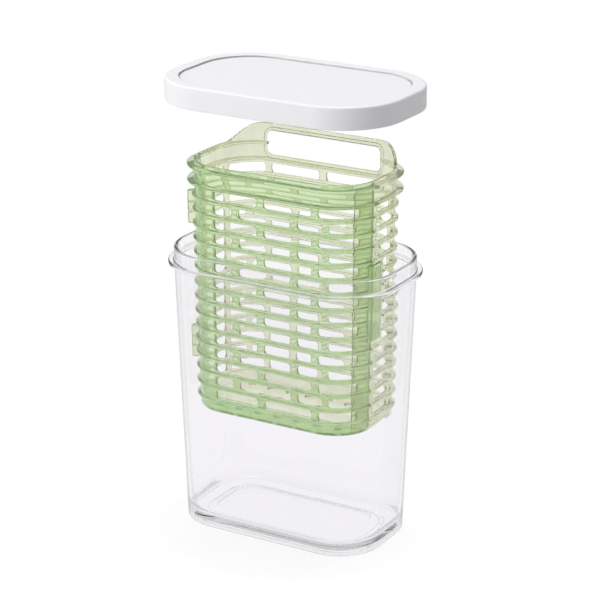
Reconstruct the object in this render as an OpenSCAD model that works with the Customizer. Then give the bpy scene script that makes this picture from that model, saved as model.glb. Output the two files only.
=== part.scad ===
// Herb keeper: a clear container, a lift-out basket in two hinged halves and a lid that closes the neck.
// Millimetres, +Z up, +X to the right, -Y to the front. The origin is the middle of the container's foot.
// The pieces stand as they are shown: the basket half lifted, the lid above its handle.
// Along the basket's wall a place is given by its run: the distance from the middle of the front,
// measured round the upper hoops' edge, positive to the right.

/* [Container] */
// Outside width of the body below its collar
body_w = 142; // [132:1:172]
// Outside depth of the body below its collar
body_d = 89; // [84:1:108]
// Outside corner radius of the body below its collar
body_r = 34; // [30:1:38]
// Height of the container up to its rim
body_h = 172; // [142:1:208]
// Thickness of the container's wall
body_wall = 2.4; // [1.6:0.2:3]
// Thickness of the clear base
base_t = 6; // [4:0.5:9]
// How far each side draws in between the collar and the foot
draw_in = 6.3; // [3:0.1:7.5]
// Height of the straight neck above the collar
neck_h = 8; // [7:0.5:10]
// How far the collar stands out from the neck
collar_out = 3.5; // [3:0.1:5]
// Thickness of the collar
collar_t = 2.2; // [1.6:0.2:3]
// Width and height of the slope round the foot's lower edge
foot_slope = 1.6; // [0.8:0.2:2.4]
// Width of the ring that the base stands on
foot_ring = 12; // [8:1:18]
// Depth of the hollow inside that ring
foot_hollow = 1; // [0.6:0.2:1.6]

/* [Basket] */
// Gap between the basket's hoop and the container's wall, left and right
rim_gap_w = 5.4; // [4:0.1:7]
// Gap between the basket's hoop and the container's wall, front and back
rim_gap_d = 3.5; // [3:0.1:4.5]
// Corner radius of the upper hoops' edge
rim_r = 30; // [27:1:32]
// How far the basket's rim stands below the container's rim when it is down
rim_drop = 13.7; // [12.5:0.1:18]
// How far each side of the basket draws in between the rim and the floor
basket_draw = 2.5; // [1.5:0.1:3.2]
// Thickness of the basket's wall and floor
basket_wall = 1.6; // [1.2:0.1:2.2]
// How far the two upper hoops stand out from the wall
rim_out = 4.2; // [3.5:0.1:5]
// Height of the rim above the top hoop
rim_lip = 2; // [1:0.5:4]
// How far the other hoops stand out from the wall
hoop_out = 1.7; // [1:0.1:3]
// Thickness of every hoop
hoop_t = 1.4; // [1:0.1:2]
// Width and height of the slope round the basket's lower edge
basket_slope = 2.4; // [1:0.2:4]
// Gap between the basket's floor and the container's base when the basket is down
floor_gap = 0.3; // [0.3:0.1:1]
// Drain holes in each row across the floor
drain_n = 7; // [5:1:9]
// Diameter of a drain hole
drain_d = 5; // [3:0.5:6]

/* [Slots] */
// Least height of the plain band between the slots' top hoop and the rim
plain_band = 12.4; // [11:0.1:20]
// Distance from one slot row to the next
row_pitch = 8.8; // [8.4:0.1:9]
// Height of a slot
slot_h = 5.8; // [4.5:0.1:6.2]
// Height of the lowest row's middle above the basket's underside
row_first = 12; // [10:0.5:14]
// Width of the bar between two slots in a row
bar_w = 4.8; // [3:0.2:7]

/* [Handle] */
// Height of the handle above the rim
handle_rise = 10.5; // [9:0.5:12]
// Half the length of the handle's straight top
handle_half = 42; // [38:1:44]
// Distance from the foot of the handle's slope to the basket's side
handle_in = 1.6; // [1:0.2:6]
// Half the width of the finger opening
grip_half = 39; // [30:1:39]
// Height of the finger opening
grip_h = 15; // [12:0.5:16]
// Corner radius of the finger opening
grip_r = 4; // [2:0.5:6]
// Height of the bar above the finger opening
grip_bar = 4.5; // [3.5:0.5:5]
// Width of the bead round the finger opening
grip_bead = 2.2; // [1.5:0.1:3]
// How far the bead stands out
bead_out = 1.2; // [0.6:0.1:2]

/* [Door hinge and latch] */
// Where the wall parts between the two halves: distance in front of the middle
parting_y = 12; // [10:0.5:14]
// Gap between the two halves
part_gap = 0.3; // [0.2:0.05:0.5]
// Distance of the hinge's axis in front of the parting, along the wall
hinge_ahead = 7; // [6:0.5:8]
// Radius of a hinge barrel
barrel_r = 2.5; // [2.2:0.1:2.6]
// Radius of the pivot that is moulded on the door
pivot_r = 1.3; // [1:0.1:1.5]
// Running clearance round the pivot, on the radius
pivot_gap = 0.08; // [0.05:0.01:0.1]
// Height of one hinge
hinge_h = 20; // [16:1:24]
// Height of the middle of the lower hinge
hinge_low = 38; // [34:1:44]
// Height of the rim above the middle of the upper hinge
hinge_drop = 31; // [28:1:40]
// Height of the latch tongue
latch_h = 46; // [30:1:48]
// Reach of the latch tongue past the parting
latch_reach = 9; // [7:0.5:11]
// Thickness of the latch tongue
latch_t = 1.3; // [1:0.1:1.6]
// Width of the catch that the tongue's window closes over
catch_w = 2.6; // [2:0.2:4]
// How far the back half's lip reaches forward inside the door's free edge
lip_reach = 10; // [6:0.5:11]
// Thickness of that lip
lip_t = 1.2; // [0.8:0.1:1.6]
// Gap between the lip and the door
lip_gap = 0.2; // [0.15:0.05:0.4]

/* [Lid] */
// How far the lid stands out past the collar
lid_over = 0.4; // [0.2:0.1:1]
// Height of the lid
lid_h = 13.3; // [12:0.1:16]
// Thickness of the lid's top and skirt
lid_wall = 2.2; // [1.6:0.1:2.6]
// Slope round the lid's upper edge
lid_slope = 1; // [0.6:0.1:1.4]
// Width of the raised border on the lid
border_w = 8; // [6:0.5:14]
// Depth of the panel inside the border
panel_sunk = 0.9; // [0.5:0.1:1.2]
// Gap between the lid's skirt and the collar when the lid is shut
lid_gap = 0.3; // [0.3:0.1:0.6]
// Gap between the seal and the inside of the neck
seal_gap = 0.3; // [0.3:0.05:0.5]
// Thickness of the seal between the liner and the neck
seal_t = 1.1; // [0.9:0.1:1.5]
// How far the plug reaches down into the neck
plug_in = 6; // [5:0.5:8]
// Thickness of the liner
liner_t = 1.2; // [1:0.1:1.5]

/* [As shown] */
// How far the basket stands lifted out of the container
basket_shown = 67; // [0:1:150]
// How far the lid stands above its closed place over the basket
lid_shown = 30; // [0:1:60]

/* [Hidden] */
$fn = 96;
past = 1;                // how far a cut runs past the face that it opens
bite = 0.4;              // how far a rib or a hoop is rooted in its wall
step = 10;               // longest straight piece of a cut that follows the wall

// Container
collar_z = body_h - neck_h - collar_t / 2;       // level at which the drawn-in body ends
lean = draw_in / collar_z;                       // how far a wall leans out for each millimetre up
in_w = body_w - 2 * body_wall;
in_d = body_d - 2 * body_wall;
in_r = body_r - body_wall;
inner_slope = 3;                                 // width and height of the slope round the inner floor

// Basket, measured from its own underside
basket_h = body_h - base_t - floor_gap - rim_drop;
basket_lean = basket_draw / basket_h;
rim_w = in_w - 2 * rim_gap_w;
rim_d = in_d - 2 * rim_gap_d;
wall_w = rim_w - 2 * rim_out;
wall_d = rim_d - 2 * rim_out;
wall_r = rim_r - rim_out;
flat_w = rim_w / 2 - rim_r;                      // half the straight part of the front and the back
flat_d = rim_d / 2 - rim_r;                      // half the straight part of a side
corner_run = rim_r * PI / 2;
half_run = 2 * flat_w + 2 * flat_d + 2 * corner_run;
basket_z = base_t + floor_gap + basket_shown;    // where the basket's underside stands
row_slack = 0.05;                                // share of a pitch that the plain band may fall short by
row_n = 1 + floor((basket_h - plain_band - row_first - row_pitch / 2) / row_pitch + row_slack);
row_top = row_first + (row_n - 1) * row_pitch;
hoop_two = row_top + row_pitch / 2;              // level of the wide hoop below the rim
handle_z = basket_h + handle_rise;
grip_z = handle_z - grip_bar - grip_h;           // level of the finger opening's lower edge

// Slots: where they begin and end along the front, the sides and the back
slot_start = 1.3;                                // how far round the left corner the front slots begin
front_share = [0.67, 0.61];                      // share of the right corner they take, odd and even rows
front_from = -flat_w - slot_start;
front_to = [for (share = front_share) flat_w + corner_run * share];
front_bars = [[-0.37, 0.36], [-0.7, 0.11, 0.56]];    // bars in the odd and the even rows, as shares of half
side_clear = 1;                                  // plain wall between a side slot and what is before it
side_past = 6;                                   // how far a side slot runs on round the back corner
side_from = flat_w + corner_run + side_clear;
side_to = flat_w + corner_run + 2 * flat_d + side_past;
back_half = half_run - side_to - bar_w;          // half the slotted length, from the middle of the back
back_bars = [[-0.55, 0, 0.55], [-0.76, -0.27, 0.27, 0.76]];    // as front_bars
drain_span = 1.2;                                // length of a row of drains, as a share of the flat floor
drain_rows = [-2.08, 0.52, 2.08];                // its place in depth, as a share of a side's half
reach = rim_out + basket_wall + basket_draw + past;   // depth of a cut through the wall at every height

// Hinge and latch
parting_run = flat_w + rim_r * acos((parting_y - flat_d) / rim_r) * PI / 180;
hinge_run = parting_run - hinge_ahead;
barrel_lift = 0.1;                               // gap between a barrel and the wall's face
hinge_off = barrel_r + barrel_lift;              // hinge axis out from the wall's face
door_arm = 3.2;                                  // width of the arm of the door's knuckle
arm_root = 4;                                    // how far behind the parting a fixed knuckle is rooted
arm_lap = 1;                                     // how far its arm laps over the barrel
arm_faces = [0.6, 2.6];                          // the arm's inner and outer face, out from the wall
room_past = 4.5;                                 // cleared stretch of the door past the hinge's axis
room_w = 8;                                      // whole width cleared round the door's knuckle
sliver = 0.01;                                   // overlap of two cuts that meet
knuckle_gap = 0.25;                              // between two knuckles
hinge_top = basket_h - hinge_drop;
latch_z = (hinge_low + hinge_top) / 2;
latch_lift = 0.3;                                // gap under the tongue and round the catch
panel_past = 4;                                  // plain panel past the tongue's tip
panel_over = 1;                                  // plain panel above and below the tongue
panel_skin = 0.1;                                // what is left of the hoops on that panel
panel_to = parting_run + latch_reach + panel_past;    // run at which the panel ends
tongue_root = 6;                                 // how far the tongue runs forward over the door
tongue_free = 1.2;                               // part of that, beside the parting, that stands free
tongue_bite = 1;                                 // how deep the rest is rooted in the door
lip_root = 2.4;                                  // stretch of the back half's wall that the lip grows from
lip_short = 3;                                   // how far the lip ends below the rim
lip_top = basket_h - lip_short;

// Lid, measured from the lower edge of its skirt
lid_w = body_w + 2 * collar_out + 2 * lid_over;
lid_d = body_d + 2 * collar_out + 2 * lid_over;
lid_r = body_r + collar_out + lid_over;
lid_z = body_h - neck_h + lid_gap + basket_shown + lid_shown;
plug_w = in_w - 2 * seal_gap - 2 * seal_t;
plug_d = in_d - 2 * seal_gap - 2 * seal_t;
plug_r = in_r - seal_gap - seal_t;
liner_top = lid_h - panel_sunk - lid_wall;
plug_foot = neck_h - lid_gap - plug_in;
seal_h = 2.4;                                    // height of the seal's band
seal_low = 0.8;                                  // plug wall left below the seal
seal_z = plug_foot + seal_low;
groove_in = 0.5;                                 // depth of the seal's seat in the plug wall

// ---- shared shapes ----

// Rounded rectangle with true arcs
module plan(w, d, r) {
    square([w - 2 * r, d], center = true);
    square([w, d - 2 * r], center = true);
    for (x = [-1, 1], y = [-1, 1])
        translate([x * (w / 2 - r), y * (d / 2 - r)])
            circle(r);
}

// Rounded rectangle of that size at its top, drawn in by inset on every side at its foot
module drawn(w, d, r, h, inset) {
    for (x = [-1, 1], y = [-1, 1])
        translate([x * (w / 2 - r), y * (d / 2 - r), 0])
            cylinder(h = h, r1 = r - inset, r2 = r);
    rotate([90, 0, 90])
        linear_extrude(w - 2 * r, center = true)
            wedge(d / 2, h, inset);
    rotate([90, 0, 0])
        linear_extrude(d - 2 * r, center = true)
            wedge(w / 2, h, inset);
}

module wedge(half, h, inset) {
    polygon([[inset - half, 0], [half - inset, 0], [half, h], [-half, h]]);
}

// Straight ring between an outline and the same outline moved in
module ring(w, d, r, t, h) {
    linear_extrude(h)
        difference() {
            plan(w, d, r);
            plan(w - 2 * t, d - 2 * t, r - t);
        }
}

module raised(z) {
    translate([0, 0, z])
        children();
}

// ---- container ----

module container() {
    color([0.9, 0.92, 0.95, 0.35])
        difference() {
            union() {
                drawn(body_w, body_d, body_r, collar_z, draw_in);
                raised(collar_z - past)
                    linear_extrude(body_h - collar_z + past)
                        plan(body_w, body_d, body_r);
                raised(body_h - neck_h - collar_t)
                    linear_extrude(collar_t)
                        plan(body_w + 2 * collar_out, body_d + 2 * collar_out, body_r + collar_out);
            }
            raised(base_t)
                container_inside();
            foot_cut();
            raised(-past)
                linear_extrude(foot_hollow + past)
                    foot_plan(-foot_ring);
        }
}

// Space inside the walls, from the base up
module container_inside() {
    tall = collar_z - base_t;
    low = lean * (tall - inner_slope);
    raised(inner_slope - bite)
        drawn(in_w, in_d, in_r, tall - inner_slope + bite, low + lean * bite);
    drawn(in_w - 2 * low, in_d - 2 * low, in_r - low, inner_slope, inner_slope);
    raised(collar_z - base_t - bite)
        linear_extrude(body_h - collar_z + bite + past)
            plan(in_w, in_d, in_r);
}

// Outline of the foot, moved out by a distance
module foot_plan(out) {
    w = body_w - 2 * draw_in + 2 * out;
    d = body_d - 2 * draw_in + 2 * out;
    plan(w, d, body_r - draw_in + out);
}

// Takes the sharp edge off the foot
module foot_cut() {
    difference() {
        raised(-past)
            linear_extrude(foot_slope + past)
                foot_plan(past);
        drawn(body_w - 2 * draw_in + 2 * lean * foot_slope, body_d - 2 * draw_in + 2 * lean * foot_slope,
              body_r - draw_in + lean * foot_slope, foot_slope, foot_slope);
    }
}

// ---- basket ----

// How far the wall has drawn in at a height, against its place at the rim
function sunk(z) = basket_lean * (basket_h - z);

// Turn of the wall's outward face at a run, against the front
function turn(s) =
    let (a = abs(s), k = s < 0 ? -1 : 1)
    a <= flat_w ? 0
    : a <= flat_w + corner_run ? k * 90 * (a - flat_w) / corner_run
    : a <= flat_w + corner_run + 2 * flat_d ? k * 90
    : a <= half_run - flat_w ? k * (90 + 90 * (a - flat_w - corner_run - 2 * flat_d) / corner_run)
    : k * 180;

// Point at a run, a distance out from the hoops' edge
function track(s, out) =
    let (a = abs(s), k = s < 0 ? -1 : 1, t = abs(turn(s)), r = rim_r + out)
    a <= flat_w ? [s, -flat_d - r]
    : a <= flat_w + corner_run ? [k * (flat_w + r * sin(t)), -flat_d - r * cos(t)]
    : a <= flat_w + corner_run + 2 * flat_d ? [k * (flat_w + r), a - flat_w - corner_run - flat_d]
    : a <= half_run - flat_w ? [k * (flat_w + r * sin(t)), flat_d - r * cos(t)]
    : [k * (half_run - a), flat_d + r];

// Places children on the wall's outer face, with their Y outwards and their Z up the leaning wall
module on_wall(s, z) {
    p = track(s, -rim_out - sunk(z));
    translate([p[0], p[1], z])
        rotate([0, 0, turn(s) + 180])
            rotate([-atan(basket_lean), 0, 0])
                children();
}

// Run brought back into half a turn either way
function wrap(s) = s > half_run ? s - 2 * half_run : s;

// Upright strip along the wall between two runs, between two distances out from the hoops' edge
module strip(from, to, inner, outer, z, h) {
    n = ceil((to - from) / step);
    steps = [for (i = [0:n]) from + (to - from) * i / n];
    raised(z)
        linear_extrude(h)
            polygon(concat([for (s = steps) track(wrap(s), outer)],
                           [for (i = [n:-1:0]) track(wrap(steps[i]), inner)]));
}

// Leaning wall up to a height, a distance out from the basket's own face
module basket_solid(out, top) {
    more = out - sunk(top);
    drawn(wall_w + 2 * more, wall_d + 2 * more, wall_r + more, top, basket_lean * top);
}

module basket_shell(top) {
    difference() {
        basket_solid(0, top);
        raised(basket_wall)
            intersection() {
                raised(-basket_wall)
                    basket_solid(-basket_wall, top + past);
                linear_extrude(top + past)
                    square([body_w, body_w], center = true);
            }
        basket_edge();
    }
}

// Takes the sharp edge off the basket's underside
module basket_edge() {
    w = wall_w - 2 * sunk(basket_slope);
    d = wall_d - 2 * sunk(basket_slope);
    r = wall_r - sunk(basket_slope);
    difference() {
        raised(-past)
            linear_extrude(basket_slope + past)
                plan(w + 2 * past, d + 2 * past, r + past);
        drawn(w, d, r, basket_slope, basket_slope);
    }
}

// Hoop whose top face is at a height
module hoop(z, out) {
    inset = sunk(z);
    raised(z - hoop_t)
        ring(wall_w + 2 * out - 2 * inset, wall_d + 2 * out - 2 * inset, wall_r + out - inset,
             out + bite, hoop_t);
}

module hoops() {
    for (i = [0:row_n - 1])
        hoop(row_first + (i - 0.5) * row_pitch + hoop_t / 2, hoop_out);
    hoop(hoop_two + hoop_t / 2, rim_out);
    hoop(basket_h - rim_lip, rim_out);
}

// Slot between two runs, cut through the wall
module slot(from, to, z) {
    strip(from, to, -reach, past, z - slot_h / 2, slot_h);
}

// A row's slots between two runs, with bars left at shares of half the length from its middle
module slots(middle, half, bars, z) {
    ends = concat([-half - bar_w / 2], [for (b = bars) b * half], [half + bar_w / 2]);
    for (i = [0:len(ends) - 2])
        slot(middle + ends[i] + bar_w / 2, middle + ends[i + 1] - bar_w / 2, z);
}

// The side the door half lies on: in front of the parting, moved back by a gap
module front_side(gap) {
    translate([-body_w, -body_w - parting_y - gap, -past])
        cube([2 * body_w, body_w, body_h]);
}

// Row level
function row_z(i) = row_first + i * row_pitch;

// True where a row passes the latch, which needs a whole wall
function at_latch(i) = abs(row_z(i) - latch_z) < latch_h / 2 + slot_h / 2;

// Rows of round holes that let water in and out through the floor
module drains() {
    apart = 2 * flat_w * drain_span / (drain_n - 1);
    for (i = [0:drain_n - 1], y = drain_rows)
        translate([(i - (drain_n - 1) / 2) * apart, y * flat_d, -past])
            cylinder(h = basket_wall + 2 * past, d = drain_d);
}

// The door's knuckle: a barrel with an arm down to the wall
module door_knuckle(z, h) {
    on_wall(-hinge_run, z) {
        translate([0, hinge_off, -h / 2])
            cylinder(h = h, r = barrel_r);
        translate([-door_arm, -bite, -h / 2])
            cube([door_arm, hinge_off + bite, h]);
    }
}

module hinge_bore(z, h) {
    on_wall(-hinge_run, z)
        translate([0, hinge_off, -h / 2])
            cylinder(h = h, r = pivot_r + pivot_gap);
}

function hinge_levels() = [hinge_low, hinge_top];

module basket_front() {
    third = hinge_h / 3;
    color([0.66, 0.84, 0.58, 0.7])
        raised(basket_z) {
            difference() {
                intersection() {
                    union() {
                        basket_shell(basket_h);
                        hoops();
                    }
                    front_side(part_gap / 2);
                }
                for (i = [0:row_n - 1])
                    front_slots(row_z(i), (row_n - 1 - i) % 2);
                drains();
                for (z = hinge_levels())
                    knuckle_room(z);
            }
            for (z = hinge_levels()) {
                door_knuckle(z, third - 2 * knuckle_gap);
                on_wall(-hinge_run, z)
                    translate([0, hinge_off, -hinge_h / 2 + knuckle_gap])
                        cylinder(h = hinge_h - 2 * knuckle_gap, r = pivot_r);
            }
            latch_tongue();
        }
}

module front_slots(z, k) {
    slots((front_from + front_to[k]) / 2, (front_to[k] - front_from) / 2, front_bars[k], z);
}

// Clears the hoops of the door where the fixed knuckles stand
module knuckle_room(z) {
    strip(-parting_run - hinge_ahead, -hinge_run + room_past, -rim_out - sunk(z) + knuckle_gap, 2 * past,
          z - hinge_h / 2 - knuckle_gap, hinge_h + 2 * knuckle_gap);
}

// Springy tongue on the door's free edge, with a window that closes over the catch
module latch_tongue() {
    raised(latch_z)
        on_latch()
            difference() {
                union() {
                    translate([-latch_reach, latch_lift, -latch_h / 2])
                        cube([latch_reach + tongue_root, latch_t, latch_h]);
                    translate([tongue_free, -tongue_bite, -latch_h / 2])
                        cube([tongue_root - tongue_free, latch_lift + latch_t + tongue_bite, latch_h]);
                }
                translate([-latch_reach / 2 - catch_w, -past, -latch_h / 3])
                    cube([catch_w + 2 * latch_lift, latch_t + 2 * past, 2 * latch_h / 3]);
            }
}

// Catch on the back half's panel, inside the tongue's window
module latch_catch() {
    raised(latch_z)
        on_latch()
            translate([latch_lift - latch_reach / 2 - catch_w, -bite, latch_lift - latch_h / 3])
                cube([catch_w, bite + latch_t, 2 * latch_h / 3 - 2 * latch_lift]);
}

// Frame on the right side wall at the latch: Y outwards, X towards the front, Z up the wall
module on_latch() {
    p = track(flat_w + corner_run, -rim_out - sunk(latch_z));
    translate([p[0], -parting_y, 0])
        rotate([0, 0, -90])
            rotate([-atan(basket_lean), 0, 0])
                children();
}

module basket_back() {
    third = hinge_h / 3;
    color([0.8, 0.9, 0.66, 0.7])
        raised(basket_z)
            difference() {
                union() {
                    difference() {
                        union() {
                            back_wall();
                            difference() {
                                hoops();
                                latch_panel_room();
                            }
                            grip_frame();
                        }
                        front_side(-part_gap / 2);
                        for (i = [0:row_n - 1])
                            back_slots(i);
                        drains();
                        grip_opening(0);
                    }
                    for (z = hinge_levels(), k = [-1, 1])
                        fixed_knuckle(z, k, third);
                    latch_catch();
                    door_lip();
                }
                for (z = hinge_levels())
                    hinge_bore(z, hinge_h + 2 * past);
                for (z = hinge_levels())
                    door_room(z, third);
            }
}

// Lip that closes the joint beside the latch from inside
module door_lip() {
    lip_layer(-basket_wall - lip_gap, -parting_y - lip_reach, lip_reach + lip_root, basket_wall + lip_gap);
    lip_layer(bite - basket_wall, part_gap / 2 - parting_y, lip_root, basket_wall - bite);
}

// Layer inside the right-hand wall over a stretch of Y, up to the lip's own inner face
module lip_layer(out, y, length, z) {
    intersection() {
        difference() {
            basket_solid(out, lip_top);
            basket_solid(-basket_wall - lip_gap - lip_t, lip_top + past);
        }
        translate([flat_w, y, z])
            cube([body_w, length, lip_top]);
    }
}

// Space in front of the plain panel that the tongue lies over
module latch_panel_room() {
    difference() {
        strip(parting_run - 2 * past, panel_to, -reach, 2 * past,
              latch_z - latch_h / 2 - panel_over, latch_h + 2 * panel_over);
        basket_solid(panel_skin, basket_h);
    }
}

// Fixed knuckle above or below the door's, on an arm that reaches forward from the back half
module fixed_knuckle(z, k, h) {
    face = -rim_out - sunk(z + k * h);
    on_wall(-hinge_run, z)
        translate([0, 0, k * h]) {
            translate([0, hinge_off, -h / 2])
                cylinder(h = h, r = barrel_r);
            translate([-barrel_r, latch_lift, -h / 2])
                cube([barrel_r, hinge_off - latch_lift, h]);
            translate([0, hinge_off - bite, -h / 2])
                cube([arm_lap, barrel_r, h]);
        }
    strip(-parting_run - arm_root, -hinge_run + bite, face + arm_faces[0], face + arm_faces[1],
          z + (k - 0.5) * h, h);
}

// Clears the arms of the fixed knuckles round the door's own knuckle
module door_room(z, h) {
    on_wall(-hinge_run, z)
        translate([-room_past, -past, -h / 2 - sliver])
            cube([room_w, 3 * barrel_r, h + 2 * sliver]);
}

// Leaning wall with the handle rising from it at the back
module back_wall() {
    difference() {
        basket_shell(handle_z);
        rotate([90, 0, 0])
            linear_extrude(2 * body_w, center = true)
                difference() {
                    translate([-body_w, basket_h])
                        square([2 * body_w, handle_rise + 2 * past]);
                    handle_outline();
                }
        translate([-body_w, -body_w, basket_h])
            cube([2 * body_w, body_w, handle_rise + past]);
    }
}

// Handle seen from the front, falling off to each side
module handle_outline() {
    n = 12;
    foot = wall_w / 2 - handle_in;
    slope = [for (i = [0:n]) [handle_half + (foot - handle_half) * i / n,
                              basket_h + handle_rise * (1 - (i / n) ^ 2)]];
    polygon(concat([for (p = slope) p], [for (i = [n:-1:0]) [-slope[i][0], slope[i][1]]]));
}

// Finger opening seen from the front, moved out by a distance
module grip_plan(out) {
    translate([0, grip_z + grip_h / 2])
        plan(2 * grip_half + 2 * out, grip_h + 2 * out, grip_r + out);
}

module grip_opening(out) {
    translate([0, body_w, 0])
        rotate([90, 0, 0])
            linear_extrude(body_w)
                grip_plan(out);
}

// Bead round the finger opening, on the outer face of the back wall
module grip_frame() {
    intersection() {
        difference() {
            basket_solid(bead_out, handle_z);
            basket_solid(-bite, handle_z + past);
        }
        grip_opening(grip_bead);
        translate([-body_w, 0, grip_z - grip_bead])
            cube([2 * body_w, body_w, handle_z - grip_z + grip_bead]);
    }
}

module back_slots(i) {
    z = row_z(i);
    slots(half_run, back_half, back_bars[(row_n - 1 - i) % 2], z);
    slot(at_latch(i) ? panel_to + side_clear : side_from, side_to, z);
    slot(-side_to, -side_from, z);
}

// ---- lid ----

module lid_cover() {
    color([0.96, 0.96, 0.97])
        raised(lid_z)
            difference() {
                union() {
                    linear_extrude(lid_h - lid_slope)
                        plan(lid_w, lid_d, lid_r);
                    raised(lid_h)
                        mirror([0, 0, 1])
                            drawn(lid_w, lid_d, lid_r, lid_slope, lid_slope);
                }
                raised(-past)
                    linear_extrude(liner_top + past)
                        plan(lid_w - 2 * lid_wall, lid_d - 2 * lid_wall, lid_r - lid_wall);
                raised(lid_h - panel_sunk)
                    linear_extrude(panel_sunk + past)
                        plan(lid_w - 2 * border_w, lid_d - 2 * border_w, lid_r - border_w);
            }
}

// Flat inner plate with a wall that plugs the neck and carries the seal
module lid_liner() {
    color([0.92, 0.93, 0.94])
        raised(lid_z)
            difference() {
                union() {
                    raised(liner_top - liner_t)
                        linear_extrude(liner_t)
                            plan(lid_w - 2 * lid_wall, lid_d - 2 * lid_wall, lid_r - lid_wall);
                    raised(plug_foot)
                        ring(plug_w, plug_d, plug_r, 2 * liner_t, liner_top - plug_foot - bite);
                }
                raised(seal_z)
                    ring(plug_w + 2 * past, plug_d + 2 * past, plug_r + past, past + groove_in, seal_h);
            }
}

module lid_seal() {
    color([0.85, 0.87, 0.88])
        raised(lid_z + seal_z)
            ring(plug_w + 2 * seal_t, plug_d + 2 * seal_t, plug_r + seal_t, seal_t + groove_in, seal_h);
}

container();
basket_back();
basket_front();
lid_cover();
lid_liner();
lid_seal();
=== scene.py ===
"""Looks for the herb keeper: a clear container, a lift-out basket in two hinged halves, and a lid.

The mesh code works in millimetres and turns to metres when a mesh is made. Along the basket's wall a place is
given by its run, the distance from the middle of the front measured round the upper hoops' edge.
"""

import math

import bmesh
import bpy
import numpy as np
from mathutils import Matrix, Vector
from mathutils.geometry import delaunay_2d_cdt


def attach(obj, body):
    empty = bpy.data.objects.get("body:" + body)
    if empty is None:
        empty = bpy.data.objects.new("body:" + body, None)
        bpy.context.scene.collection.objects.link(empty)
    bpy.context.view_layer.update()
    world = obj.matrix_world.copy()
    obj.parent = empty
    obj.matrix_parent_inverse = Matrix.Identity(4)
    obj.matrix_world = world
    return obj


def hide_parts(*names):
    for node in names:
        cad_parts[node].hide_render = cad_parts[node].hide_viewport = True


bl_info = {
    "name": "Herb Keeper",
    "version": (1, 0, 0),
    "blender": (4, 5, 0),
    "location": "3D View > Sidebar > Herb Keeper",
    "description": "Builds the visible pieces of the herb keeper round its packed frame",
    "category": "Object",
}

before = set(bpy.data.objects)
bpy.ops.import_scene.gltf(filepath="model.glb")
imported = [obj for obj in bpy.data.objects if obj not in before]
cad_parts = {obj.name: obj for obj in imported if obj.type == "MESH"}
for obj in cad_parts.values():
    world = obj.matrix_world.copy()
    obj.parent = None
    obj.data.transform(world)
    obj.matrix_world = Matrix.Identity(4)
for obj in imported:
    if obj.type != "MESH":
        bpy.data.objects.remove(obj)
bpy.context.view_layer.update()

MM = 0.001


def linear(hex_colour):
    """Linear RGB of an sRGB hex colour."""
    parts = [int(hex_colour[i : i + 2], 16) / 255 for i in (1, 3, 5)]
    return tuple(c / 12.92 if c <= 0.04045 else ((c + 0.055) / 1.055) ** 2.4 for c in parts)


# ---- sizes and colours that can be changed ----


def size(name, text, millimetres):
    return bpy.props.FloatProperty(name=name, description=text, default=millimetres * MM, unit="LENGTH")


def angle(name, text, degrees):
    return bpy.props.FloatProperty(name=name, description=text, default=math.radians(degrees), subtype="ANGLE")


def colour(name, text, hex_colour):
    return bpy.props.FloatVectorProperty(
        name=name, description=text, default=linear(hex_colour), subtype="COLOR", size=3, min=0, max=1
    )


class ContainerSettings(bpy.types.PropertyGroup):
    foot_round: size("Foot rounding", "Radius of the foot's outer edge", 2.4)
    floor_round: size("Floor rounding", "Radius between the wall and the inner floor", 7.8)
    collar_round: size("Collar rounding", "Radius of the collar's edges", 1.0)
    rim_round: size("Rim rounding", "Radius of the rim's edges", 1.1)
    tint: colour("Tint", "What the clear wall lets through", "#FCFBFD")
    # edge tint: painted shade, a darker grey that the clear wall's colour is mixed toward where its surface
    # turns away from the camera
    painted_edge_shade: colour("Edge tint", "What the clear wall lets through where it turns away", "#909097")
    depth_tint: colour("Depth tint", "What is left of light after a long way in the plastic", "#C0C1C6")


class BasketSettings(bpy.types.PropertyGroup):
    slot_round: size("Slot corner", "Corner radius of a slot", 1.9)
    edge_round: size("Edge rounding", "Radius of the moulded edges", 0.35)
    hoop_round: size("Hoop rounding", "Radius of a hoop's edge", 0.45)
    door_tint: colour("Door tint", "What the front half lets through", "#DAECC6")
    back_tint: colour("Back tint", "What the back half lets through", "#ECEFD9")
    # edge tint: painted shade, a darker green that the basket's colour is mixed toward where its surface turns
    # away from the camera
    painted_edge_shade: colour("Edge tint", "What the basket lets through where its surface turns away", "#8FB57A")


class LidSettings(bpy.types.PropertyGroup):
    edge_round: size("Edge rounding", "Radius of the lid's upper edge", 1.5)
    shell: colour("Shell colour", "Colour of the lid's plastic", "#F0F0F2")
    inside: colour("Liner colour", "Colour of the liner's plastic", "#ECEDEF")
    seal: colour("Seal colour", "Colour of the silicone seal", "#DADFE0")


class StageSettings(bpy.types.PropertyGroup):
    distance: size("Camera distance", "From the camera to the point it looks at", 1387.8)
    height: size("Height looked at", "Height of the point the camera looks at", 152.14)
    turn: angle("Turn", "How far the camera stands to the right", 30.57)
    rise: angle("Rise", "How far the camera looks down", 18.8)
    lens: bpy.props.FloatProperty(
        name="Lens", description="Focal length on a 36 mm sensor", default=141.56, subtype="DISTANCE_CAMERA"
    )
    floor: colour("Floor colour", "Colour of the floor, as the object is lit from it", "#CCCCCC")
    sky: colour("Sky colour", "Colour of the light from all round", "#F7F8FB")


SETTINGS = {
    "herb_container": ContainerSettings,
    "herb_basket": BasketSettings,
    "herb_lid": LidSettings,
    "herb_stage": StageSettings,
}

# ---- sizes of the real pieces, as the construction has them, in millimetres ----
# A plan is (width, depth, corner radius). Heights of the basket are over its underside.

# container: the body's plan at the collar, and the collar's lower side, upper side and reach
BODY = (142.0, 89.0, 34.0)
BODY_H, WALL, BASE = 172.0, 2.4, 6.0
DRAW, COLLAR_Z = 6.3, 162.9
LEAN = DRAW / COLLAR_Z
COLLAR = (161.8, 164.0, 3.5)
# the visible floor's sunk panel: how deep, and how far in from the wall
FLOOR_SUNK, PANEL_FROM = 0.7, 16

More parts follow.
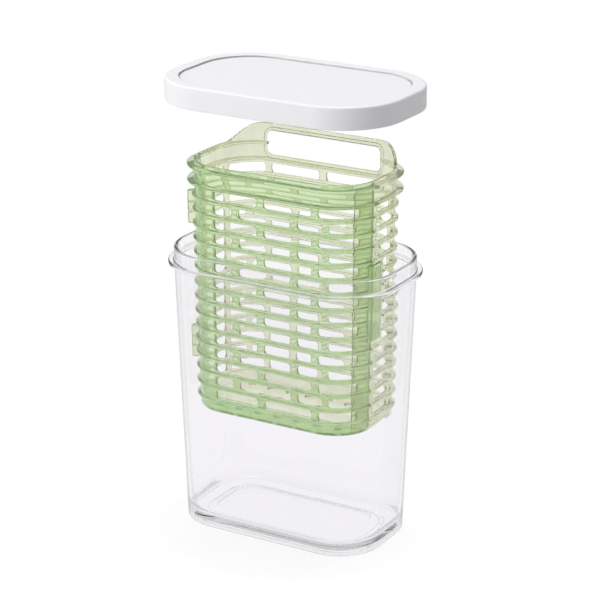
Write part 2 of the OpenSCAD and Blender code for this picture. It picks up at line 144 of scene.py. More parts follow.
# basket: the plan of its upper hoops' edge, and how far the hoops stand out from the wall
RIM = (126.4, 77.2, 30.0)
RIM_OUT, HOOP_OUT, HOOP_T = 4.2, 1.7, 1.4
BASKET_Z, BASKET_H, BASKET_WALL, BASKET_DRAW = 73.3, 152.0, 1.6, 2.5
FLOOR_BEND = 2.4
ROWS, PITCH, FIRST, SLOT_H, BAR = 15, 8.8, 12.0, 5.8, 4.8
UPPER_HOOPS = (139.6, 149.3)
DRAIN_R, DRAIN_PITCH, DRAINS, DRAIN_ROWS = 2.5, 13.28, 7, (-17.9, 4.5, 17.9)
# handle: its rise over the wall, and how far from the middle it is level and ends
HANDLE_RISE, HANDLE_HALF, HANDLE_FOOT = 10.5, 42.0, 57.4
# finger opening: half its width, its lower and upper edge, its corner radius, and the bead round it
GRIP = (39.0, 143.0, 158.0, 4.2)
BEAD, BEAD_OUT = 2.2, 1.15
# latch tongue: its middle's height, height, reach past the parting and thickness
PARTING_Y, PART_GAP = 12.0, 0.3
LATCH = (79.5, 46.0, 9.0, 1.3)
TONGUE_ROOT = 5
LIP_FROM, LIP_ROOT, LIP_T, LIP_GAP, LIP_TOP = 61.7, 2.4, 1.2, 0.2, 149.0
# hinge: the knuckles' middle heights, their height, their radius and their place on the door's wall
HINGES, HINGE_H, BARREL = (38.0, 121.0), 20.0, 2.5
HINGE_AHEAD, BARREL_LIFT = 7, 0.1

# lid: its plan, the height it floats at, and the plug's plan; heights of its pieces are over its lower edge
LID = (149.8, 96.8, 37.9)
LID_Z, LID_H, LID_WALL, BORDER, SUNK = 261.3, 13.3, 2.2, 8.0, 0.9
PLUG = (134.4, 81.4, 30.2)
PLUG_FOOT, PLUG_WALL, SEAL = 1.7, 2.4, (2.5, 4.9)
LINER_FOOT, LINER_REACH = 9.0, 5.45

FLAT_W = RIM[0] / 2 - RIM[2]
FLAT_D = RIM[1] / 2 - RIM[2]
CORNER = RIM[2] * math.pi / 2
HALF = 2 * FLAT_W + 2 * FLAT_D + 2 * CORNER
WALL_R = RIM[2] - RIM_OUT

# ---- how finely the meshes are made ----

SHARP = 40  # an edge between faces that turn by more degrees than this is drawn sharp
EDGE_SHARE = 0.49  # the most of an edge that the rounding at one of its ends takes
RUN_STEP, SIDE_STEP, HANDLE_STEP = 2.6, 2.5, 3  # spacing of points along the wall, up its ends, in the handle
BARREL_SIDES, DRAIN_SIDES = 24, 20
CLOSE = 1e-5  # points of a flat layout nearer than this are one


# ---- meshes ----


def plan_points(plan, out, steps=20):
    """Points round a rounded rectangle moved out by a distance, anticlockwise."""
    w, d, r = plan
    points = []
    for quarter, (sx, sy) in enumerate(((1, 1), (-1, 1), (-1, -1), (1, -1))):
        for i in range(steps + 1):
            a = math.pi / 2 * (quarter + i / steps)
            x, y = sx * (w / 2 - r), sy * (d / 2 - r)
            points.append((x + (r + out) * math.cos(a), y + (r + out) * math.sin(a)))
    return points


def rounded(corners, closed=False, steps=5):
    """Profile of (out, height) points from (out, height, radius) corners."""
    profile = []
    n = len(corners)
    for i, (x, y, r) in enumerate(corners):
        here = Vector((x, y))
        ends = not closed and i in (0, n - 1)
        if ends or r <= 0:
            profile.append((x, y))
            continue
        before = Vector(corners[i - 1][:2]) - here
        after = Vector(corners[(i + 1) % n][:2]) - here
        turn = before.angle(after)
        reach = min(r / math.tan(turn / 2), before.length * EDGE_SHARE, after.length * EDGE_SHARE)
        a = here + before.normalized() * reach
        b = here + after.normalized() * reach
        for k in range(steps + 1):
            t = k / steps
            p = a * (1 - t) ** 2 + here * 2 * t * (1 - t) + b * t**2
            profile.append((p.x, p.y))
    return profile


def new_object(name, verts, faces, sharp=SHARP):
    """Object from points in millimetres, smooth but for its sharp edges."""
    mesh = bpy.data.meshes.new(name)
    mesh.from_pydata([tuple(c * MM for c in v) for v in verts], [], faces)
    mesh.validate()
    mesh.shade_smooth()
    mesh.set_sharp_from_angle(angle=math.radians(sharp))
    obj = bpy.data.objects.new(name, mesh)
    bpy.context.scene.collection.objects.link(obj)
    return obj


def loft(name, plan, profile, base=0.0, closed=False, steps=20):
    """Solid with the same profile all round a plan: a closed loop, or a line that starts and ends flat."""
    rings = [plan_points(plan, out, steps) for out, _ in profile]
    verts = [(x, y, base + z) for ring, (_, z) in zip(rings, profile) for x, y in ring]
    n = len(rings[0])
    faces = []
    for j in range(len(profile) - (0 if closed else 1)):
        k = (j + 1) % len(profile)
        for i in range(n):
            m = (i + 1) % n
            faces.append((j * n + i, j * n + m, k * n + m, k * n + i))
    if not closed:
        faces.append(tuple(range(n - 1, -1, -1)))
        faces.append(tuple(range((len(profile) - 1) * n, len(profile) * n)))
    obj = new_object(name, verts, faces)
    outward(obj)
    return obj


def outward(obj):
    """Turns an object's faces outwards."""
    bm = bmesh.new()
    bm.from_mesh(obj.data)
    bmesh.ops.recalc_face_normals(bm, faces=bm.faces)
    bm.to_mesh(obj.data)
    bm.free()


def closed_solid(name, verts, faces):
    """Object from faces turned outwards, without the points that none of them uses."""
    used = sorted({i for f in faces for i in f})
    place = {i: k for k, i in enumerate(used)}
    obj = new_object(name, [verts[i] for i in used], [[place[i] for i in f] for f in faces])
    outward(obj)
    return obj


def joined(obj, others):
    """Welds closed pieces that were moulded in one with an object."""
    bpy.context.view_layer.objects.active = obj
    for other in others:
        weld = obj.modifiers.new("weld", "BOOLEAN")
        weld.operation = "UNION"
        weld.solver = "MANIFOLD"
        weld.object = other
        before = len(obj.data.polygons)
        bpy.ops.object.modifier_apply(modifier=weld.name)
        if len(obj.data.polygons) < before / 2:
            raise RuntimeError(obj.name + " was lost in its weld with " + other.name)
        bpy.data.objects.remove(other)
    obj.data.shade_smooth()
    obj.data.set_sharp_from_angle(angle=math.radians(SHARP))
    return obj


# ---- the basket's wall, laid out flat as run and height ----


def track(run, out):
    """Place on the wall at a run, a distance out from the upper hoops' edge, and the way it faces."""
    run = (run + HALF) % (2 * HALF) - HALF
    a, side, r = abs(run), math.copysign(1, run), RIM[2] + out
    if a <= FLAT_W:
        return run, -FLAT_D - r
    if a <= FLAT_W + CORNER:
        t = (a - FLAT_W) / RIM[2]
        return side * (FLAT_W + r * math.sin(t)), -FLAT_D - r * math.cos(t)
    if a <= FLAT_W + CORNER + 2 * FLAT_D:
        return side * (FLAT_W + r), a - FLAT_W - CORNER - FLAT_D
    if a <= HALF - FLAT_W:
        t = (HALF - FLAT_W - a) / RIM[2]
        return side * (FLAT_W + r * math.sin(t)), FLAT_D + r * math.cos(t)
    return side * (HALF - a), FLAT_D + r


def run_of_x(x):
    """Run from the middle of the back or front at which the wall's face has an X."""
    return x if x <= FLAT_W else FLAT_W + RIM[2] * math.asin((x - FLAT_W) / WALL_R)


PARTING = FLAT_W + RIM[2] * math.acos((PARTING_Y - FLAT_D) / WALL_R)
HINGE_RUN = PARTING - HINGE_AHEAD
PANEL_TO = PARTING + LATCH[2] + 4
FRONT_FROM = -FLAT_W - 1.3
FRONT_TO = (FLAT_W + CORNER * 0.67, FLAT_W + CORNER * 0.61)
FRONT_BARS = ((-0.37, 0.36), (-0.7, 0.11, 0.56))
SIDE_FROM, SIDE_TO = FLAT_W + CORNER + 1, FLAT_W + CORNER + 2 * FLAT_D + 6
BACK_HALF = HALF - SIDE_TO - BAR
BACK_BARS = ((-0.55, 0, 0.55), (-0.76, -0.27, 0.27, 0.76))


def face(z):
    """How far out the wall's plain leaning face stands at a height."""
    return -RIM_OUT - BASKET_DRAW * (1 - z / BASKET_H)


def away(points, box):
    """Distance of each (run, height) from a rounded rectangle (middle run, middle height, halves, radius)."""
    s, z, hs, hz, r = box
    q = np.abs(points - (s, z)) - (hs - r, hz - r)
    return np.hypot(*np.maximum(q, 0).T) + np.minimum(q.max(axis=1), 0) - r


def loop_round(box, off, longest=3.0, steps=4):
    """Points round a rounded rectangle moved out by a distance."""
    s, z, hs, hz, r = box
    rr, hx, hy = r + off, hs - r, hz - r
    points = []
    for quarter, (sx, sy) in enumerate(((1, 1), (-1, 1), (-1, -1), (1, -1))):
        for i in range(steps + 1):
            a = math.pi / 2 * (quarter + i / steps)
            points.append((s + sx * hx + rr * math.cos(a), z + sy * hy + rr * math.sin(a)))
    full = []
    for a, b in zip(points, points[1:] + points[:1]):
        n = max(1, math.ceil(math.dist(a, b) / longest))
        full += [(a[0] + (b[0] - a[0]) * i / n, a[1] + (b[1] - a[1]) * i / n) for i in range(n)]
    return full


def row_slots(middle, half, bars, z, corner):
    """The slots of one row, with bars left at shares of half its length from its middle."""
    ends = [-half - BAR / 2] + [b * half for b in bars] + [half + BAR / 2]
    found = []
    for a, b in zip(ends, ends[1:]):
        lo, hi = middle + a + BAR / 2, middle + b - BAR / 2
        found.append(((lo + hi) / 2, z, (hi - lo) / 2, SLOT_H / 2, corner))
    return found


def hoop_shape(reach, edge):
    """Heights and stand-outs across one hoop, from its lower side to its upper side."""
    half, root, steps = HOOP_T / 2, 0.35, 3
    up = [(-half - root, 0.0), (-half - 0.1, 0.1), (-half, root)]
    for k in range(steps + 1):
        a = math.pi / 2 * k / steps
        up.append((-half + 0.01 + edge * (1 - math.cos(a)), reach - edge + edge * math.sin(a)))
    return up + [(-z, o) for z, o in reversed(up)]


class Wall:
    """One half of the basket's wall, from one parting to the other."""

    def __init__(self, start, end, slots, edge, hoop_edge, top=None, grip=None, bare=None):
        self.start, self.end, self.slots, self.edge = start, end, slots, edge
        self.top = top or (lambda s: BASKET_H)
        self.grip, self.bare = grip, bare
        levels = [(FIRST + (i - 0.5) * PITCH, HOOP_OUT) for i in range(ROWS)]
        levels += [(z, RIM_OUT) for z in UPPER_HOOPS]
        self.ridge = [(z + dz, o) for z, reach in levels for dz, o in hoop_shape(reach, hoop_edge)]
        self.points, self.edges = [], []

    def line(self, points, closed=False):
        first = len(self.points)
        self.points += points
        ids = list(range(first, len(self.points)))
        self.edges += list(zip(ids, ids[1:])) + ([(ids[-1], first)] if closed else [])

    def runs(self):
        """Runs at which the wall gets a column of points, closer at the end of the bare stretch."""
        marks = [self.start, self.end]
        if self.bare:
            marks += [self.bare[1] - 0.05, self.bare[1] + 0.05]
        n = math.ceil((self.end - self.start) / RUN_STEP)
        marks += [self.start + (self.end - self.start) * i / n for i in range(1, n)]
        return sorted(marks)

    def heights_out(self, s, z):
        """How far the wall's outer face stands out at points, over its plain leaning face."""
        ridge_z, ridge_o = zip(*self.ridge)
        out = np.interp(z, ridge_z, ridge_o, left=0, right=0)
        if self.bare:
            lo, hi, zlo, zhi = self.bare
            out[(s < hi) & (s > lo) & (z > zlo) & (z < zhi)] = 0
        return out

    def mesh(self, name):
        """Lays the wall out flat, cuts its slots, and folds its outer and inner faces round the plan."""
        runs = self.runs()
        top = [(s, self.top(s)) for s in runs]
        # the outline, then two lines inside its top edge that carry the rounding
        low = [(s, 0.0) for s in runs]
        side = list(np.arange(SIDE_STEP, BASKET_H - 1.5, SIDE_STEP))
        right, left = [(self.end, z) for z in side], [(self.start, z) for z in reversed(side)]
        self.line(low + right + top[::-1] + left, closed=True)
        slopes = np.gradient([z for _, z in top], [s for s, _ in top])
        for inset in (0.12, self.edge):
            self.line([(s, z - inset * math.hypot(1, g)) for (s, z), g in zip(top, slopes)])
        for z, _ in self.ridge:
            self.line([(s, z) for s in runs])
        # lines up the bend into the floor
        for z in (0.15, 0.4, 0.8, 1.3, 1.8, FLOOR_BEND):
            self.line([(s, z) for s in runs])
        for z in np.arange(BASKET_H + 1, BASKET_H + HANDLE_RISE - 1, HANDLE_STEP):
            self.points += [(s, z) for s in runs if z < self.top(s) - 1]
        holes = list(self.slots)
        for box in holes:
            for off in (0, 0.1, self.edge):
                self.line(loop_round(box, off), closed=True)
        if self.grip:
            # lines round the finger opening that carry its bead
            for off in (0, 0.12, 0.35, 0.8, 1.3, 1.8, 2.1, BEAD):
                self.line(loop_round(self.grip, off), closed=True)
            holes.append(self.grip)
        verts, _, faces, *_ = delaunay_2d_cdt([Vector(p) for p in self.points], self.edges, [], 0, CLOSE)
        flat = np.array([(v.x, v.y) for v in verts])
        faces = np.array([f for f in faces if len(f) == 3])
        middle = flat[faces].mean(axis=1)
        tops = np.array([self.top(s) for s in middle[:, 0]])
        keep = middle[:, 1] < tops - 1e-6
        gap = np.full(len(flat), np.inf)  # distance from each point to the nearest edge that is rounded
        for box in holes:
            keep &= away(middle, box) > 0
            gap = np.minimum(gap, np.abs(away(flat, box)))
        faces = faces[keep]
        s, z = flat.T
        tops = np.array([self.top(v) for v in s])
        steep = np.interp(s, [p[0] for p in top], np.hypot(1, slopes))
        gap = np.minimum(gap, (tops - z) / steep)
        e = self.edge
        drop = np.where(gap < e, e - np.sqrt(np.maximum(e * e - (e - np.clip(gap, 0, e)) ** 2, 0)), 0)
        out = self.heights_out(s, z)
        if self.grip:
            near = away(flat, self.grip)
            bead = (near >= -1e-4) & (near <= BEAD)
            swell = np.sqrt(np.clip(1 - (near[bead] * 2 / BEAD - 1) ** 2, 0, 1))
            out[bead] = np.maximum(out[bead], BEAD_OUT * swell)
        bend = np.clip(FLOOR_BEND - z, 0, FLOOR_BEND)
        plain = face(z) - FLOOR_BEND + np.sqrt(FLOOR_BEND**2 - bend**2)
        outer = plain + out - drop
        inner = plain - BASKET_WALL + drop
        n = len(flat)
        verts = [(*track(a, o), BASKET_Z + h) for a, h, o in zip(s, z, outer)]
        verts += [(*track(a, o), BASKET_Z + h) for a, h, o in zip(s, z, inner)]
        # the sides join the two faces along each edge that only one triangle has
        sides = dict.fromkeys((a, b) for f in faces for a, b in ((f[0], f[1]), (f[1], f[2]), (f[2], f[0])))
        solid = [tuple(f) for f in faces] + [(f[2] + n, f[1] + n, f[0] + n) for f in faces]
        solid += [(b, a, a + n, b + n) for a, b in sides if (b, a) not in sides]
        return closed_solid(name, verts, solid)


def floor_plate(name, front):
    """One half's part of the floor, with its drain holes."""
    inset = -RIM_OUT - BASKET_DRAW - FLOOR_BEND - 0.2
    cut = -PARTING_Y + (-PART_GAP / 2 if front else PART_GAP / 2)
    around = 160
    ring = [track(s, inset) for s in np.linspace(0, 2 * HALF, around + 1)[:-1]]
    inside = [p for p in ring if (p[1] < cut) == front]
    # the plan's outline is cut at the parting; the crossing points keep the ring's width
    beside = 2.5
    width = max(abs(x) for x, y in ring if abs(y - cut) < beside)
    outline = sorted(inside, key=lambda p: math.atan2(p[0], -(p[1] - cut) if front else p[1] - cut))
    outline = [(-width, cut)] + outline + [(width, cut)]
    points, edges = [], []

    def loop(new):
        first = len(points)
        points.extend(new)
        ids = list(range(first, len(points)))
        edges.extend(list(zip(ids, ids[1:] + ids[:1])))

    loop(outline)
    holes = []
    for i in range(DRAINS):
        for y in DRAIN_ROWS:
            if (y < cut) == front:
                x = DRAIN_PITCH * (i - DRAINS // 2)
                holes.append((x, y))
                turns = np.linspace(0, 2 * math.pi, DRAIN_SIDES + 1)[:-1]
                loop([(x + DRAIN_R * math.cos(a), y + DRAIN_R * math.sin(a)) for a in turns])
    verts, _, faces, *_ = delaunay_2d_cdt([Vector(p) for p in points], edges, [], 1, CLOSE)
    flat = np.array([(v.x, v.y) for v in verts])
    keep = [f for f in faces if all(math.dist(flat[list(f)].mean(axis=0), h) > DRAIN_R for h in holes)]
    n = len(flat)
    solid_verts = [(x, y, BASKET_Z + dz) for dz in (0.02, BASKET_WALL) for x, y in flat]
    used_edges = {(f[k], f[(k + 1) % len(f)]) for f in keep for k in range(len(f))}
    solid = [tuple(i + n for i in f) for f in keep] + [tuple(reversed(f)) for f in keep]
    solid += [(a, b, b + n, a + n) for a, b in used_edges if (b, a) not in used_edges]
    return closed_solid(name, solid_verts, solid)


def handle_top(s):
    """Height of the back half's upper edge at a run."""
    a = abs(abs(s) - HALF)
    near, far = run_of_x(HANDLE_HALF), run_of_x(HANDLE_FOOT)
    if a <= near:
        return BASKET_H + HANDLE_RISE
    if a >= far:
        return BASKET_H
    x = FLAT_W + WALL_R * math.sin((a - FLAT_W) / RIM[2])
    return BASKET_H + HANDLE_RISE * (1 - ((x - HANDLE_HALF) / (HANDLE_FOOT - HANDLE_HALF)) ** 2)


def knuckle(name, z, h, arm):
    """One hinge knuckle: a barrel with softened ends and the arm that joins it to the wall."""
    soft = 0.3
    x, y = track(-HINGE_RUN, face(z) + BARREL + BARREL_LIFT)
    levels = (
        (BARREL - soft, -h / 2),
        (BARREL, -h / 2 + soft),
        (BARREL, h / 2 - soft),
        (BARREL - soft, h / 2),
    )
    bm = bmesh.new()
    rings = []
    for r, dz in levels:
        height = (BASKET_Z + z + dz) * MM
        turns = np.linspace(0, 2 * math.pi, BARREL_SIDES + 1)[:-1]
        plan = [((x + r * math.cos(a)) * MM, (y + r * math.sin(a)) * MM) for a in turns]
        rings.append([bm.verts.new((*point, height)) for point in plan])
    for a, b in zip(rings, rings[1:]):
        for i in range(BARREL_SIDES):
            k = (i + 1) % BARREL_SIDES
            bm.faces.new((a[i], a[k], b[k], b[i]))
    bm.faces.new(list(reversed(rings[0])))
    bm.faces.new(rings[-1])
    mesh = bpy.data.meshes.new(name)
    bm.to_mesh(mesh)
    bm.free()
    barrel = bpy.data.objects.new(name, mesh)
    bpy.context.scene.collection.objects.link(barrel)
    arm_piece = band(name + "_arm", -HINGE_RUN + arm[0], -HINGE_RUN + arm[1], z, h - 0.4, -0.5, 2.4)
    return joined(barrel, [arm_piece])


def band(name, lo, hi, z, h, inner, outer, soft=0.35):
    """Plate that follows the leaning wall between two runs, between two distances out from its face."""
    longest = 2
    n = max(2, math.ceil((hi - lo) / longest))
    section = [
        (inner, -h / 2), (outer - soft, -h / 2), (outer, -h / 2 + soft),
        (outer, h / 2 - soft), (outer - soft, h / 2), (inner, h / 2),
    ]
    verts, faces = [], []
    for i in range(n + 1):
        s = lo + (hi - lo) * i / n
        verts += [(*track(s, face(z + dz) + o), BASKET_Z + z + dz) for o, dz in section]
    m = len(section)
    for i in range(n):
        for k in range(m):
            faces.append((i * m + k, i * m + (k + 1) % m, (i + 1) * m + (k + 1) % m, (i + 1) * m + k))
    faces += [tuple(range(m)), tuple(range((n + 1) * m - 1, n * m - 1, -1))]
    obj = new_object(name, verts, faces, 30)
    outward(obj)
    return obj


# ---- materials ----


def node(tree, kind, place, settings=None, links=None):
    """Adds a shader node with its settings, and links its inputs to other nodes' outputs."""
    made = tree.nodes.new(kind)
    made.location = place
    for key, value in (settings or {}).items():
        if isinstance(key, int) or key in made.inputs:
            made.inputs[key].default_value = value
        else:
            setattr(made, key, value)
    for key, source in (links or {}).items():
        tree.links.new(source, made.inputs[key])
    return made


def blank(name):
    """New material with its output node only."""
    made = bpy.data.materials.new(name)
    made.use_nodes = True
    tree = made.node_tree
    tree.nodes.clear()
    return made, tree, node(tree, "ShaderNodeOutputMaterial", (900, 0))


def moulded_skin(tree, grain_mm, wave_mm, grain, wave):
    """Bump of a moulded surface: a fine grain over the slow waves that cooling leaves."""
    where = node(tree, "ShaderNodeTexCoord", (-900, 0)).outputs["Object"]
    fine = node(
        tree, "ShaderNodeTexNoise", (-700, 100),
        {"Scale": 1 / (grain_mm * MM), "Detail": 3}, {"Vector": where},
    )
    slow = node(
        tree, "ShaderNodeTexNoise", (-700, -150),
        {"Scale": 1 / (wave_mm * MM), "Detail": 1}, {"Vector": where},
    )
    waves = node(
        tree, "ShaderNodeBump", (-450, -100),
        {"Strength": wave, "Distance": 0.3 * MM}, {"Height": slow.outputs["Fac"]},
    )
    grained = node(
        tree, "ShaderNodeBump", (-250, -100),
        {"Strength": grain, "Distance": 0.05 * MM},
        {"Height": fine.outputs["Fac"], "Normal": waves.outputs["Normal"]},
    )
    return fine, grained


def clear_plastic(name, tint, painted_edge_shade, depth_tint, depth_mm, roughness, ior, clear=1.0):
    """Clear or cloudy plastic: tinted at each face and along the way inside, with painted shade at the edges
    that turn away from the camera, and lamps shine through it.
    """
    made, tree, out = blank(name)
    skin = moulded_skin(tree, 0.6, 28, 0.04, 0.06)[1]
    body = node(
        tree, "ShaderNodeBsdfPrincipled", (200, 100),
        {"Base Color": (*tint, 1), "Roughness": roughness, "IOR": ior, "Transmission Weight": clear},
        {"Normal": skin.outputs["Normal"]},
    )
    # where the surface turns away from the camera its colour is mixed toward the edge tint, a painted shade
    # that draws the piece's edges
    turned = node(tree, "ShaderNodeLayerWeight", (-700, 800), {"Blend": 0.5})
    edge = node(
        tree, "ShaderNodeMapRange", (-450, 800),
        {"From Min": 0.7, "From Max": 0.97}, {"Value": turned.outputs["Facing"]},
    )
    shade = node(
        tree, "ShaderNodeMix", (-200, 800),
        {"data_type": "RGBA", 6: (*tint, 1), 7: (*painted_edge_shade, 1)}, {0: edge.outputs["Result"]},
    )
    tree.links.new(shade.outputs[2], body.inputs["Base Color"])
    if clear < 1:
        # cloudier and clearer patches about 14 mm across, as the flow in the mould leaves them
        patch, vary = 14 * MM, 0.05
        where = node(tree, "ShaderNodeTexCoord", (-900, 500)).outputs["Object"]
        cloud = node(
            tree, "ShaderNodeTexNoise", (-700, 500), {"Scale": 1 / patch, "Detail": 2}, {"Vector": where}
        )
        spread = node(
            tree, "ShaderNodeMapRange", (-450, 500),
            {"From Min": 0.3, "From Max": 0.7, "To Min": clear - vary, "To Max": clear + vary},
            {"Value": cloud.outputs["Fac"]},
        )
        tree.links.new(spread.outputs["Result"], body.inputs["Transmission Weight"])
    lamp_way = node(tree, "ShaderNodeBsdfTransparent", (200, -250), {"Color": (*tint, 1)})
    path = node(tree, "ShaderNodeLightPath", (200, 500))
    both = node(
        tree, "ShaderNodeMixShader", (550, 50), {},
        {0: path.outputs["Is Shadow Ray"], 1: body.outputs[0], 2: lamp_way.outputs[0]},
    )
    inside = node(
        tree, "ShaderNodeVolumeAbsorption", (550, -250),
        {"Color": (*depth_tint, 1), "Density": 1 / (depth_mm * MM)},
    )
    tree.links.new(both.outputs[0], out.inputs["Surface"])
    tree.links.new(inside.outputs[0], out.inputs["Volume"])
    return made


def opaque_plastic(name, shade, roughness, grain):
    """Solid-coloured plastic: a soft sheen broken by a fine grain."""
    made, tree, out = blank(name)
    fine, skin = moulded_skin(tree, 0.7, 22, grain, 0.05)
    vary = 0.05
    spread = node(
        tree, "ShaderNodeMapRange", (-250, 250),
        {"To Min": roughness - vary, "To Max": roughness + vary}, {"Value": fine.outputs["Fac"]},
    )
    body = node(
        tree, "ShaderNodeBsdfPrincipled", (200, 100),
        {"Base Color": (*shade, 1), "IOR": 1.5},
        {"Normal": skin.outputs["Normal"], "Roughness": spread.outputs["Result"]},
    )
    tree.links.new(body.outputs[0], out.inputs["Surface"])
    return made


def dress(obj, material, body, slot, *nodes):
    """Gives a piece its finish and its body, and hides the construction nodes that it stands for."""
    obj.data.materials.clear()
    obj.data.materials.append(material)
    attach(obj, body)
    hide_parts(*nodes)


# ---- operators ----


class HERBKEEPER_OT_container(bpy.types.Operator):
    """Builds the clear container"""

    bl_idname = "herbkeeper.container"
    bl_label = "Clear Container"

    def execute(self, context):
        s = context.scene.herb_container
        foot = -DRAW
        inner = -WALL - LEAN * (COLLAR_Z - BASE)
        profile = rounded(
            [
                (foot - 26, 1.0, 0),
                (foot - 12, 1.0, 0.5),
                (foot - 12, 0.0, 0.4),
                (foot, 0.0, s.foot_round / MM),
                (-0.04, COLLAR[0], 0.5),
                (COLLAR[2], COLLAR[0], s.collar_round / MM),
                (COLLAR[2], COLLAR[1], s.collar_round / MM),
                (0, COLLAR[1], 0.6),
                (0, BODY_H, s.rim_round / MM),
                (-WALL, BODY_H, s.rim_round / MM),
                (-WALL, COLLAR_Z, 6.0),
                (inner, BASE, s.floor_round / MM),
                (inner - PANEL_FROM, BASE, 0.6),
                (inner - PANEL_FROM - FLOOR_SUNK, BASE - FLOOR_SUNK, 0.5),
                (inner - PANEL_FROM - 6, BASE - FLOOR_SUNK, 0),
            ],
            steps=7,
        )
        obj = loft("clear_container", BODY, profile, steps=28)
        # styrene acrylonitrile, injection moulded: clear and glossy, with a faint cool cast in its depth
        tints = tuple(s.tint), tuple(s.painted_edge_shade), tuple(s.depth_tint)
        finish = clear_plastic("SAN plastic, clear, moulded", *tints, depth_mm=90, roughness=0.01, ior=1.42)
        dress(obj, finish, "container", "clear_plastic", "container")
        return {"FINISHED"}


def basket_finish(name, tint, painted_edge_shade):
    """Polypropylene, tinted and moulded."""
    # it gives a milky green that deepens where the wall is thick or lies double
    tints = tuple(tint), tuple(painted_edge_shade), tuple(tint)
    return clear_plastic(name, *tints, depth_mm=26, roughness=0.03, ior=1.42, clear=0.93)


class HERBKEEPER_OT_basket_front(bpy.types.Operator):
    """Builds the basket's hinged front half"""

    bl_idname = "herbkeeper.basket_front"
    bl_label = "Basket Front"

    def execute(self, context):
        s = context.scene.herb_basket
        slots = []
        for i in range(ROWS):
            k = (ROWS - 1 - i) % 2
            middle, half = (FRONT_FROM + FRONT_TO[k]) / 2, (FRONT_TO[k] - FRONT_FROM) / 2
            slots += row_slots(middle, half, FRONT_BARS[k], FIRST + i * PITCH, s.slot_round / MM)
        seam = PART_GAP / 2
        wall = Wall(-PARTING + seam, PARTING - seam, slots, s.edge_round / MM, s.hoop_round / MM)
        obj = wall.mesh("basket_door")
        middle, tall, reach, thick = LATCH
        rooted, lift = PARTING - TONGUE_ROOT, 0.3
        tongue = band("tongue", rooted, PARTING + reach, middle, tall, lift, lift + thick)
        root = band("tongue_root", rooted, PARTING - 1.5, middle, tall, -0.8, 1)
        knuckles = [knuckle("door_knuckle", z, HINGE_H / 3 - 0.5, (-1, 4)) for z in HINGES]
        joined(obj, [floor_plate("door_floor", True), root, tongue] + knuckles)
        finish = basket_finish("PP plastic, green tint, moulded", s.door_tint, s.painted_edge_shade)
        dress(obj, finish, "basket", "green_plastic", "basket_front")
        return {"FINISHED"}


class HERBKEEPER_OT_basket_back(bpy.types.Operator):
    """Builds the basket's fixed back half with its handle"""

    bl_idname = "herbkeeper.basket_back"
    bl_label = "Basket Back"

    def execute(self, context):
        s = context.scene.herb_basket
        corner = s.slot_round / MM
        slots = []
        for i in range(ROWS):
            z = FIRST + i * PITCH
            slots += row_slots(HALF, BACK_HALF, BACK_BARS[(ROWS - 1 - i) % 2], z, corner)
            latched = abs(z - LATCH[0]) < LATCH[1] / 2 + SLOT_H / 2
            right = (PANEL_TO + 1 if latched else SIDE_FROM, SIDE_TO)
            left = (2 * HALF - SIDE_TO, 2 * HALF - SIDE_FROM)
            for lo, hi in (right, left):
                slots.append(((lo + hi) / 2, z, (hi - lo) / 2, SLOT_H / 2, corner))
        seam = PART_GAP / 2
        grip = (HALF, (GRIP[1] + GRIP[2]) / 2, run_of_x(GRIP[0]), (GRIP[2] - GRIP[1]) / 2, GRIP[3])
        bare = (PARTING - 1, PANEL_TO, LATCH[0] - LATCH[1] / 2 - 1, LATCH[0] + LATCH[1] / 2 + 1)
        start, end = PARTING + seam, 2 * HALF - PARTING - seam
        wall = Wall(start, end, slots, s.edge_round / MM, s.hoop_round / MM, handle_top, grip, bare)
        obj = wall.mesh("basket_back_half")
        middle, tall = (LIP_TOP + BASKET_WALL) / 2, LIP_TOP - BASKET_WALL
        near, rooted = -BASKET_WALL - LIP_GAP, PARTING + LIP_ROOT
        parts = [
            floor_plate("back_floor", False),
            band("lip_root", start, rooted, middle, tall, near - LIP_T + 0.03, -1.2, 0.2),
            band("lip", LIP_FROM, rooted - 0.4, middle + 0.1, tall - 0.3, near - LIP_T, near, 0.3),
        ]
        for z in HINGES:
            for k in (-1, 1):
                parts.append(knuckle("fixed_knuckle", z + k * HINGE_H / 3, HINGE_H / 3, (-11, 0)))
        joined(obj, parts)
        finish = basket_finish("PP plastic, pale green tint, moulded", s.back_tint, s.painted_edge_shade)
        dress(obj, finish, "basket", "green_plastic", "basket_back")
        return {"FINISHED"}


